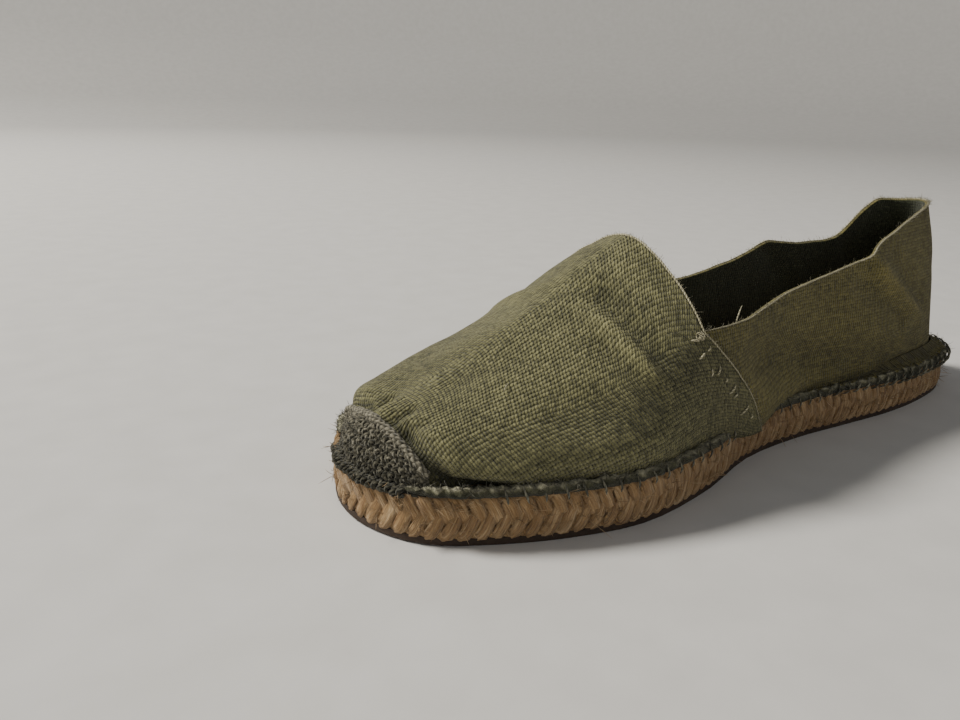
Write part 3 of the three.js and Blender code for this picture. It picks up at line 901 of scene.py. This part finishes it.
# the rim: three plies laid round each other
RIM_LAY = 4.6
across_toe = np.linspace(-1, 1, 700)
run = run_along(toe_point(across_toe, 1.0, 1.0)[0])
for k in range(3):
    turn = run * 2 * PI / RIM_LAY + 2 * PI * k / 3
    path, out = toe_point(across_toe, 0.985 + 0.04 * np.sin(turn), 0.25 + 0.6 * np.cos(turn))
    toe_rows.add(path, 0.74 + 0.14 * np.sin(run * 0.55 + k), 0.66, up=out, wear=0.15)
toe_cap = toe_rows.piece("toe_stitching", toe_thread)
for piece in (toe_shaded_base, toe_cap):
    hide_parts("toe_cap")


# ---- frayed hem and heel stitches

HEM_COLS = 900
# inset, height, extra height and extra inset at the heel, and rub and painted shade (pale where the lip's top
# frays, darkened with painted shade in the corner against the upper and under the lip), from the upper out over
# the lip and under
HEM_PROFILE = [
    (6.4, 14.2, 4.6, 0, -0.6), (3.6, 15.2, 1.8, 0, -0.5), (2, 16.1, 0.3, 0, 0.1),
    (0.9, 16.3, -0.2, 0, 1.3), (0, 15.9, -0.4, 0, 0), (-0.4, 15.2, -0.4, 0.5, -0.7),
    (-0.4, 14.4, -0.9, 0.5, -1), (0.3, 13.7, -1.6, 0, -1.2), (2, 13.4, -1.9, 0, -1.2),
]
HEM_MIDDLE = (2.2, 14.0)  # the inset and height that its ends taper to
TOE_GAP = 0.31
CANVAS_HEM_X = -22  # behind this the hem's top is the quarter's own canvas
hem_angles = np.linspace(TOE_GAP, 2 * PI - TOE_GAP, HEM_COLS)
hx, hy, hnx, hny = edge(hem_angles, 0.0)
hem_run = run_along(np.stack([hx, hy], 1))
ripple = 0.35 * np.sin(hem_run * 0.9) + 0.28 * np.sin(hem_run * 0.37 + 1.0) + 0.2 * np.sin(hem_run * 2.1 + 0.4)
rough = np.convolve(rng.normal(0, 1, HEM_COLS), [0.25, 0.5, 0.25], "same") * 0.62
taper = np.clip(np.minimum(hem_run, hem_run[-1] - hem_run) / 9, 0.02, 1) ** 0.5
hem_points, hem_grain, hem_wear_and_shade = [], [], []
for k, (inset, z, heel_rise, heel_tuck, wear) in enumerate(HEM_PROFILE):
    reach = math.sin(PI * k / (len(HEM_PROFILE) - 1))
    z = z + heel_rise * np.clip((-45 - hx) / 40, 0, 1)
    inset = inset + heel_tuck * np.clip((-30 - hx) / 40, 0, 1)
    uneven = (ripple * 0.7 + np.roll(rough, 7 * k)) * reach
    push = HEM_MIDDLE[0] + (inset - uneven - HEM_MIDDLE[0]) * taper
    lift = (ripple * 0.5 + np.roll(rough, 11 * k)) * reach * (k < 6)
    height = HEM_MIDDLE[1] + (z - HEM_MIDDLE[1] + lift) * taper
    hem_points.append(np.stack([hx - hnx * push, hy - hny * push, height + spring(hx)], 1))
    hem_grain.append(np.stack([hem_run, 0 * hem_run + k * 0.9, 0 * hem_run], 1))
    hem_wear_and_shade.append(np.full(HEM_COLS, wear))
hem_faces = grid_faces(len(HEM_PROFILE), HEM_COLS)
hem_on_canvas = (hem_faces[:, 0] // HEM_COLS < 3) & (hx[hem_faces[:, 0] % HEM_COLS] < CANVAS_HEM_X)
hem = make_piece("hem_lip", np.concatenate(hem_points), hem_faces, np.concatenate(hem_grain),
                 [hem_cloth, shaded_quarter_canvas], np.concatenate(hem_wear_and_shade), hem_on_canvas)
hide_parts("sewn_hem")

whip = Strands()
# coils over the lip round the heel, smaller toward the waist; plain short stitches along the vamp
WHIP_SPACING = 5.3
WHIP_STOP_X = 112
UPRIGHT = np.array([0.0, 0.0, 1.0])
dense_angles = np.linspace(0, 2 * PI, 3000)
dense_run = run_along(np.stack(outline(dense_angles), 1))
for place in np.arange(0, dense_run[-1], WHIP_SPACING):
    angle = np.interp(place + rng.normal(0, 0.25), dense_run, dense_angles)
    x, y, nx, ny = (float(a) for a in edge(angle, 0.0))
    if x > WHIP_STOP_X:
        continue
    heel = float(np.clip((-30 - x) / 45, 0, 1))
    tangent = np.array([-ny, nx, 0.0])
    out = np.array([nx, ny, 0.0])
    centre = np.array([x, y, 14.6 - 0.9 * heel]) - out * 1.1
    if heel > 0:
        t = np.linspace(-0.5 * PI, 0.5 * PI, 15)[:, None]
        size = 0.65 + 0.35 * heel
        path = (centre + out * (np.cos(t) * 2.5 * size) + UPRIGHT * (np.sin(t) * 2.7 * size + 0.4)
                + tangent * (t * 0.75))
        whip.add(path, 0.52 * size, 0.42 * size, up=np.cross(tangent, UPRIGHT) + np.array([0.01, 0, 1]),
                 sides=7, taper=True, wear=float(rng.uniform(-1.0, 0.1)))
    else:
        t = np.linspace(0, 1, 9)[:, None]
        lean = rng.uniform(0.6, 2.0)
        path = centre + out * (1.2 + 0.9 * np.sin(PI * t)) + UPRIGHT * (1.9 - 4.6 * t) + tangent * (lean * t)
        whip.add(path, 0.34, 0.28, up=out, taper=True, wear=float(rng.uniform(-1.0, 0.0)))
whip.piece("hem_stitches", hem_thread)


# ---- seams, selvedges and loose threads

seams = Strands()


def lay_cord(path, out, radius, wave, seed):
    """A rolled selvedge along an edge of the cloth, a little uneven."""
    noise = np.random.default_rng(seed)
    jitter = np.convolve(noise.normal(0, 1, len(path) + 4), np.ones(5) / 5, "valid") * wave
    seams.add(path + out * (radius * 0.3) + out * jitter[:, None], radius, radius * 0.9, up=out, taper=True)


throat_path, throat_out = (np.concatenate([a[:, -1], a[-2::-1, 0]]) for a in vamp_cloth)
lay_cord(throat_path, throat_out, 0.36, 0.1, 21)
collar_path, collar_out = (a[-1] for a in quarter_cloth)
lay_cord(collar_path, collar_out, 0.38, 0.12, 22)
seams.piece("seam_selvedge", cream_thread)


def nearest_on(cloth, point):
    """The grid point of a cloth nearest to a point, and the outward direction there."""
    face, out = (grid.reshape(-1, 3) for grid in cloth)
    k = np.linalg.norm(face - point, axis=1).argmin()
    return face[k], out[k]


hand = Strands()


def hand_stitch(a, b):
    (pa, na), (pb, nb) = nearest_on(vamp_cloth, a), nearest_on(vamp_cloth, b)
    t = np.linspace(0, 1, 11)[:, None]
    path = pa * (1 - t) + pb * t + (na + nb) / 2 * (0.5 * np.sin(PI * t) ** 0.5 - 0.15)
    hand.add(path, 0.36, 0.36 * 0.8, up=(na + nb) / 2, taper=True, wear=0.1)


NEAR_STITCHES = [
    ((45.5, 38.9, 41.6), (43.0, 38.3, 43.4)), ((42.2, 38.2, 43.8), (40.6, 38.0, 45.0)),
    ((41.6, 40.5, 35.8), (41.0, 39.9, 38.9)), ((38.6, 39.8, 36.6), (37.6, 39.5, 38.6)),
    ((33.0, 39.3, 29.4), (30.2, 38.6, 31.6)), ((30.2, 38.8, 27.4), (28.4, 38.4, 29.2)),
    ((24.5, 38.0, 21.5), (22.4, 37.5, 23.6)), ((19.5, 37.0, 18.0), (18.4, 36.8, 20.6)),
    ((43.8, 36.4, 46.2), (46.2, 36.0, 47.0)), ((36.0, 39.2, 33.2), (34.8, 39.0, 35.4)),
]
for a, b in NEAR_STITCHES:
    hand_stitch(a, b)
    hand_stitch((a[0], -a[1], a[2]), (b[0], -b[1], b[2]))
# the knot at the corner of the throat
corner, corner_out = nearest_on(vamp_cloth, (43.5, 36.5, 47.3))
for k in range(9):
    turn = np.linspace(0, rng.uniform(3.5, 6.0), 16)
    axis = unit(rng.normal(0, 1, 3))
    side = unit(np.cross(axis, [0.2, 0.4, 1.0]))
    other = np.cross(axis, side)
    circle = np.cos(turn)[:, None] * side + np.sin(turn)[:, None] * other
    path = corner + corner_out * 0.5 + circle * rng.uniform(0.5, 1.3) + rng.normal(0, 0.35, 3)
    hand.add(path, 0.24, sides=5, taper=True, wear=float(rng.uniform(-0.4, 0.3)))
# stray threads: one at the near collar, one on the vamp
collar_near, _ = nearest_on(quarter_cloth, (27.0, 33.0, 48.5))
t = np.linspace(0, 1, 14)[:, None]
standing = collar_near + [0, 0.4, 0] + t * [-1.0, 0.6, 5.6] + np.sin(t * 3) * [0.5, 0.2, 0]
hand.add(standing, 0.2, sides=5, taper=True, wear=0.5)
stray, stray_out = nearest_on(vamp_cloth, (96.6, 19.1, 36.1))
lying = stray + stray_out * (0.3 + 0.8 * np.sin(t * PI)) + (t - 0.5) * [3.2, 2.2, -1.0]
hand.add(lying, 0.16, sides=5, taper=True, wear=0.3)
hand.piece("seam_stitches", cream_thread)


def hairs(strands, sources, normals, count, length, radius, spread, seed):
    """Short loose fibres that stand off a path or a surface."""
    noise = np.random.default_rng(seed)
    picks = noise.integers(0, len(sources), count)
    t = np.linspace(0, 1, 5)[:, None]
    for k in picks:
        direction = unit(normals[k] + noise.normal(0, spread, 3))
        bend = noise.normal(0, 0.45, 3)
        size = length * noise.uniform(0.35, 1.0)
        path = sources[k] + noise.normal(0, 0.12, 3) + (direction * t + bend * t ** 2) * size
        strands.add(path, radius, sides=3, taper=True, wear=float(noise.uniform(-0.3, 0.5)))


fuzz = Strands()
hairs(fuzz, collar_path, collar_out * 0.5 + [0, 0, 0.7], 1100, 1.5, 0.055, 0.6, 31)
hairs(fuzz, throat_path, throat_out * 0.5 + [-0.7, 0, 0.2], 420, 1.2, 0.055, 0.6, 32)
fuzz.piece("edge_fuzz", cream_thread)

jute_hair = Strands()
hair_angles = rng.uniform(0, 2 * PI, 700)
x, y, nx, ny = edge(hair_angles, 0.3)
hair_points = np.stack([x, y, rng.uniform(JUTE_BOTTOM + 1.5, JUTE_TOP, 700)], 1)
hair_normals = np.stack([nx * 0.55 - ny * 1.1, ny * 0.55 + nx * 1.1, 0 * nx], 1)
hairs(jute_hair, hair_points, hair_normals, 1000, 3.6, 0.085, 0.6, 33)
jute_hair.piece("jute_hairs", jute)

hem_hair = Strands()
hem_normals = np.stack([hnx, hny, 0.35 + 0 * hnx], 1)
hairs(hem_hair, hem_points[3], hem_normals, 2200, 2.1, 0.085, 0.8, 34)
hem_hair.piece("hem_fray", hem_thread)

toe_hair = Strands()
cap_a, cap_u = rng.uniform(-1, 1, 500), rng.uniform(0.05, 1.0, 500)
cap_points, cap_out = toe_point(cap_a, cap_u, 0.4)
hairs(toe_hair, cap_points, cap_out, 520, 1.5, 0.06, 0.8, 35)
toe_hair.piece("toe_fray", toe_thread)


# ---- the rubber sheet keeps its CAD solid

outsole_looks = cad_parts["rubber_outsole"].data.materials
outsole_looks.clear()
outsole_looks.append(rubber_material())


# ---- studio

FLOOR_PROFILE = [(1.5, 0), (2.2, 0.0), (2.7, 0.07), (3.05, 0.3), (3.25, 0.7), (3.3, 1.3)]  # metres


def studio_floor():
    """A pale disc that turns up into a bowl, so that no edge shows at any height of camera."""
    sides = 96
    angles = [2 * PI * k / sides for k in range(sides)]
    points = [(r * math.cos(a), r * math.sin(a), height) for r, height in FLOOR_PROFILE for a in angles]
    faces = [list(range(sides))]
    for low in range(0, len(points) - sides, sides):
        for k in range(sides):
            a, b = low + k, low + (k + 1) % sides
            faces.append([b, a, a + sides, b + sides])
    mesh = bpy.data.meshes.new("studio_floor")
    mesh.from_pydata(points, [], faces)
    mesh.materials.append(floor_material())
    mesh.shade_smooth()
    return add_object("studio_floor", mesh)


studio_floor()


def area_light(name, position, target, size, power, colour):
    data = bpy.data.lights.new(name, "AREA")
    data.shape, data.size, data.energy, data.color = "DISK", size, power, colour
    light = add_object(name, data)
    light.location = position
    light.rotation_euler = (Vector(target) - Vector(position)).to_track_quat("-Z", "Y").to_euler()


area_light("key", (1.60, -1.32, 2.0), (0.03, 0, 0.03), 0.75, 120, (1.0, 0.96, 0.88))
area_light("fill", (0.9, 2.1, 1.0), (0, 0, 0.04), 1.2, 6, (0.99, 0.97, 0.97))

world = bpy.data.worlds.new("studio_air")
world.use_nodes = True
air = world.node_tree.nodes["Background"].inputs
air["Color"].default_value = (0.95, 0.97, 1.0, 1)
air["Strength"].default_value = 0.17
bpy.context.scene.world = world

camera_data = bpy.data.cameras.new("camera")
camera_data.sensor_width = 36
camera_data.lens = 30.18
camera_data.clip_start = 0.01
camera = add_object("camera", camera_data)
forward = Vector((-0.5194, -0.7943, -0.3152)).normalized()
right = Vector((-0.8414, 0.5398, 0.0262))
right = (right - forward * right.dot(forward)).normalized()
up = right.cross(forward)
turned = Matrix((right, up, -forward)).transposed().to_4x4()
camera.matrix_world = Matrix.Translation(Vector((211.9, 182.1, 110.0)) * MM) @ turned
bpy.context.scene.camera = camera
